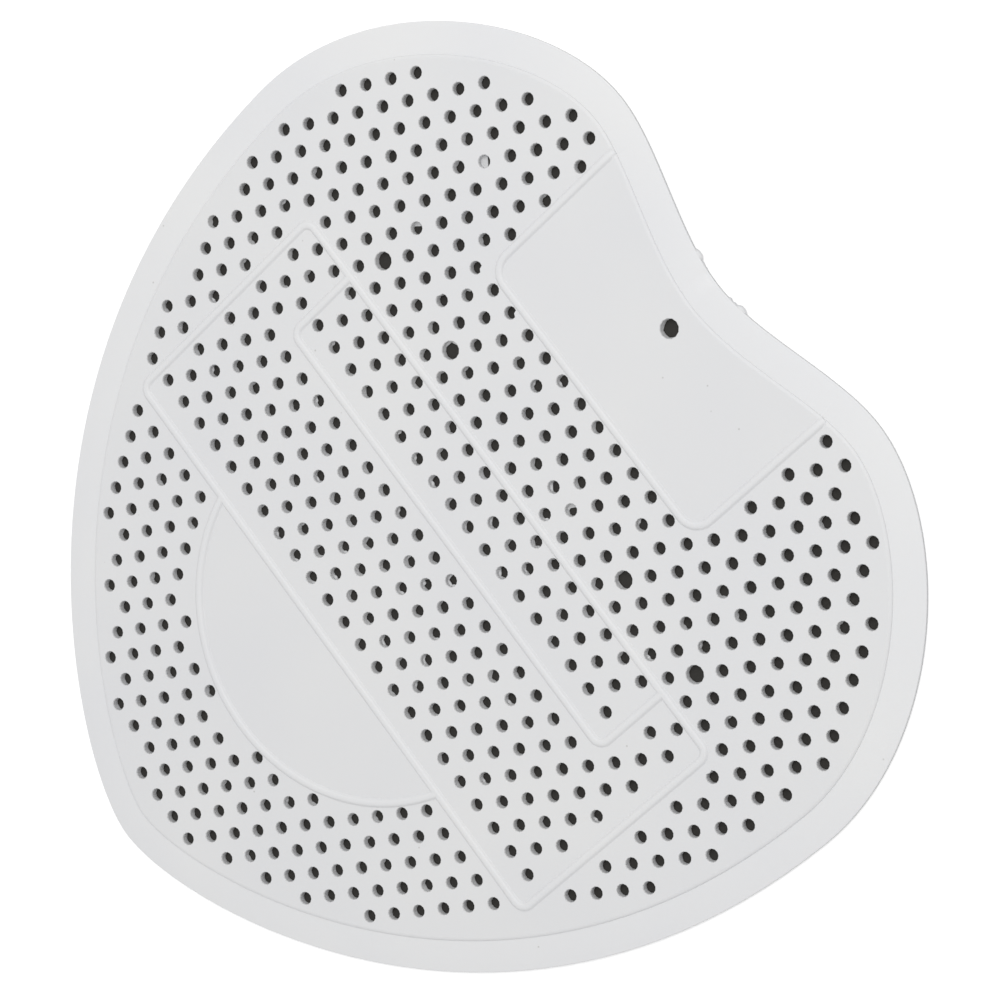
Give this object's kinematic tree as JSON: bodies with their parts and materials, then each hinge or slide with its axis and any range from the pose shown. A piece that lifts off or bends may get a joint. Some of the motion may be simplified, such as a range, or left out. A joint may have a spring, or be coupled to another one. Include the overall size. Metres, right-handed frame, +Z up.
{
  "type": "urinal deodorizer screen",
  "caption": "Flat heart-shaped perforated mat of soft vinyl that lies in a urinal bowl over the drain, with a thin plain rim, raised ribs, a blank shield and a small hook hole.",
  "frame": {"origin": "centre of the flat underside's bounding box, on the surface that the mat lies on", "axes": "+Z up out of the ribbed face, +Y from the toe to the notch between the lobes, +X along the long ribs"},
  "size_m": [0.1802, 0.1784, 0.0019],
  "materials": {
    "vinyl": "satin white soft vinyl, moulded, very slightly translucent"
  },
  "bodies": {
    "root": {"screen": "vinyl"}
  },
  "joints": []
}
